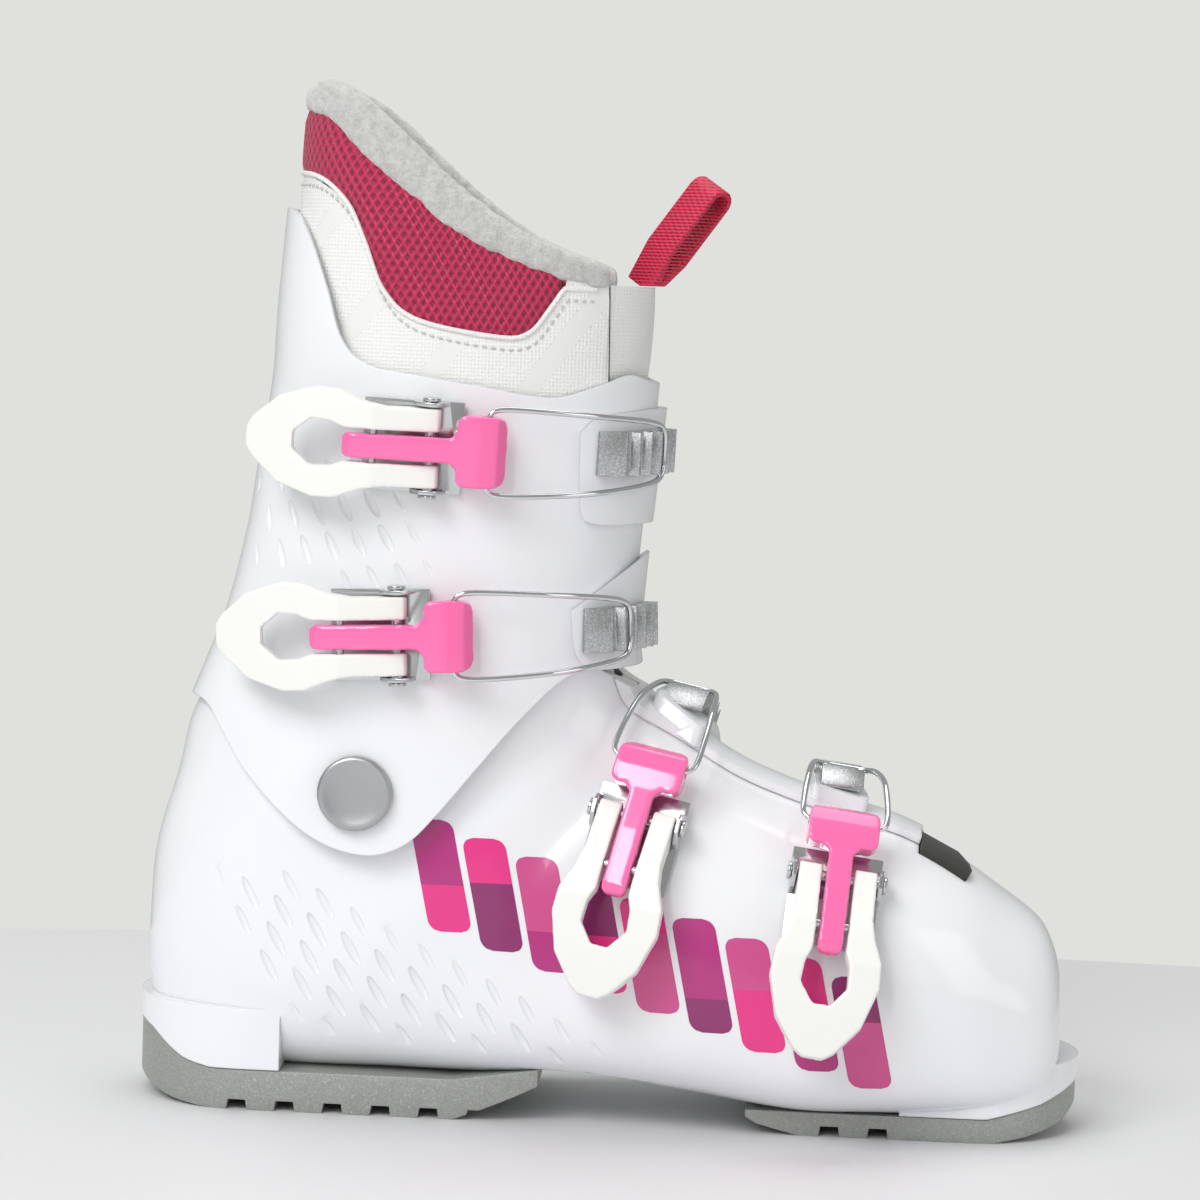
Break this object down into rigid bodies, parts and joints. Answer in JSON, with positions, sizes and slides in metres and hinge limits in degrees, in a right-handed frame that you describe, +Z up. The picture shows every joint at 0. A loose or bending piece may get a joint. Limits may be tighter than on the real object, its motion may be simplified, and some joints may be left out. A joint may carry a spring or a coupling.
{
  "type": "alpine ski boot",
  "caption": "Right alpine ski boot: rigid lower shell with lugged grey sole pads, cuff hinged at the ankle, lever buckles with wire bails and ladders, and a soft liner with a fleece collar.",
  "frame": {"origin": "on the ground under the middle of the bounding box", "axes": "+X towards the toe, +Y towards the inner side of this right boot, +Z up"},
  "size_m": [0.285, 0.1202, 0.3055],
  "materials": {
    "white_shell": "gloss injection-moulded polyurethane",
    "white_lever": "satin moulded plastic",
    "pink_plastic": "gloss moulded plastic",
    "grey_sole": "moulded plastic with fine metal flake",
    "charcoal_insert": "matte moulded plastic",
    "white_woven": "woven-print synthetic leather over foam",
    "raspberry_mesh": "coarse basket-weave mesh",
    "grey_fleece": "brushed fleece over foam",
    "red_webbing": "ribbed nylon webbing",
    "dark_foam": "closed-cell foam",
    "satin_rivet": "satin cast",
    "buckle_steel": "bright stamped",
    "cast_silver": "sparkly as-cast",
    "wire_chrome": "polished wire"
  },
  "bodies": {
    "lower": {"lower_shell": "white_shell", "toe_plug": "charcoal_insert", "heel_sole": "grey_sole", "toe_sole": "grey_sole", "boot_board": "dark_foam", "liner": "white_woven", "tongue": "white_woven", "insole": "dark_foam", "cuff_pivot_lateral": "satin_rivet", "cuff_pivot_medial": "satin_rivet", "instep_buckle_base": "buckle_steel", "instep_buckle_ladder": "cast_silver", "instep_buckle_lever_pin": "buckle_steel", "toe_buckle_base": "buckle_steel", "toe_buckle_ladder": "cast_silver", "toe_buckle_lever_pin": "buckle_steel"},
    "cuff": {"cuff": "white_shell", "liner_quarter": "white_woven", "mesh_panel": "raspberry_mesh", "fleece_collar": "grey_fleece", "pull_loop": "red_webbing", "top_buckle_base": "buckle_steel", "top_buckle_ladder": "cast_silver", "top_buckle_lever_pin": "buckle_steel", "ankle_buckle_base": "buckle_steel", "ankle_buckle_ladder": "cast_silver", "ankle_buckle_lever_pin": "buckle_steel"},
    "top_lever": {"top_buckle_lever": "white_lever", "top_buckle_yoke_pin": "buckle_steel"},
    "top_yoke": {"top_buckle_yoke": "pink_plastic"},
    "top_bail": {"top_buckle_bail": "wire_chrome"},
    "ankle_lever": {"ankle_buckle_lever": "white_lever", "ankle_buckle_yoke_pin": "buckle_steel"},
    "ankle_yoke": {"ankle_buckle_yoke": "pink_plastic"},
    "ankle_bail": {"ankle_buckle_bail": "wire_chrome"},
    "instep_lever": {"instep_buckle_lever": "white_lever", "instep_buckle_yoke_pin": "buckle_steel"},
    "instep_yoke": {"instep_buckle_yoke": "pink_plastic"},
    "instep_bail": {"instep_buckle_bail": "wire_chrome"},
    "toe_lever": {"toe_buckle_lever": "white_lever", "toe_buckle_yoke_pin": "buckle_steel"},
    "toe_yoke": {"toe_buckle_yoke": "pink_plastic"},
    "toe_bail": {"toe_buckle_bail": "wire_chrome"}
  },
  "joints": [
    {"name": "cuff_flex", "type": "hinge", "parent": "lower", "child": "cuff", "pos_m": [-0.0747, 0.00911, 0.0977], "axis": [0, 1, 0], "range_deg": [0, 5], "stiffness_Nm_per_rad": 60, "deforming": ["liner", "tongue"]},
    {"name": "top_lever_turn", "type": "hinge", "parent": "cuff", "child": "top_lever", "pos_m": [-0.05562, -0.04489, 0.19941], "axis": [0.0272, -0.056, 0.9981], "range_deg": [0, 100]},
    {"name": "top_yoke_turn", "type": "hinge", "parent": "top_lever", "child": "top_yoke", "pos_m": [-0.07184, -0.04839, 0.19966], "axis": [0.0272, -0.056, 0.9981], "range_deg": [-100, 0]},
    {"name": "top_bail_turn", "type": "hinge", "parent": "top_yoke", "child": "top_bail", "pos_m": [-0.03918, -0.04641, 0.19888], "axis": [-0.0272, 0.056, -0.9981], "range_deg": [0, 60]},
    {"name": "ankle_lever_turn", "type": "hinge", "parent": "cuff", "child": "ankle_lever", "pos_m": [-0.06336, -0.04322, 0.14477], "axis": [-0.0423, -0.0038, 0.9991], "range_deg": [0, 100]},
    {"name": "ankle_yoke_turn", "type": "hinge", "parent": "ankle_lever", "child": "ankle_yoke", "pos_m": [-0.07966, -0.04627, 0.14407], "axis": [-0.0423, -0.0038, 0.9991], "range_deg": [-100, 0]},
    {"name": "ankle_bail_turn", "type": "hinge", "parent": "ankle_yoke", "child": "ankle_bail", "pos_m": [-0.04698, -0.04519, 0.14546], "axis": [0.0423, 0.0038, -0.9991], "range_deg": [0, 60]},
    {"name": "instep_lever_turn", "type": "hinge", "parent": "lower", "child": "instep_lever", "pos_m": [0.00777, -0.03463, 0.09365], "axis": [-0.9703, 0.1588, 0.1825], "range_deg": [0, 100]},
    {"name": "instep_yoke_turn", "type": "hinge", "parent": "instep_lever", "child": "instep_yoke", "pos_m": [0.00378, -0.04393, 0.0805], "axis": [-0.9703, 0.1588, 0.1825], "range_deg": [-100, 0]},
    {"name": "instep_bail_turn", "type": "hinge", "parent": "instep_yoke", "child": "instep_bail", "pos_m": [0.01145, -0.02982, 0.10901], "axis": [0.9703, -0.1588, -0.1825], "range_deg": [0, 60]},
    {"name": "toe_lever_turn", "type": "hinge", "parent": "lower", "child": "toe_lever", "pos_m": [0.06652, -0.03617, 0.07878], "axis": [-0.9894, -0.0528, 0.1351], "range_deg": [0, 100]},
    {"name": "toe_yoke_turn", "type": "hinge", "parent": "toe_lever", "child": "toe_yoke", "pos_m": [0.06549, -0.04757, 0.06676], "axis": [-0.9894, -0.0528, 0.1351], "range_deg": [-100, 0]},
    {"name": "toe_bail_turn", "type": "hinge", "parent": "toe_yoke", "child": "toe_bail", "pos_m": [0.06815, -0.02895, 0.09354], "axis": [0.9894, 0.0528, -0.1351], "range_deg": [0, 60]}
  ],
  "couplings": [
    {"joint": "top_yoke_turn", "follows": "top_lever_turn", "ratio": -1},
    {"joint": "ankle_yoke_turn", "follows": "ankle_lever_turn", "ratio": -1},
    {"joint": "instep_yoke_turn", "follows": "instep_lever_turn", "ratio": -1},
    {"joint": "toe_yoke_turn", "follows": "toe_lever_turn", "ratio": -1}
  ]
}
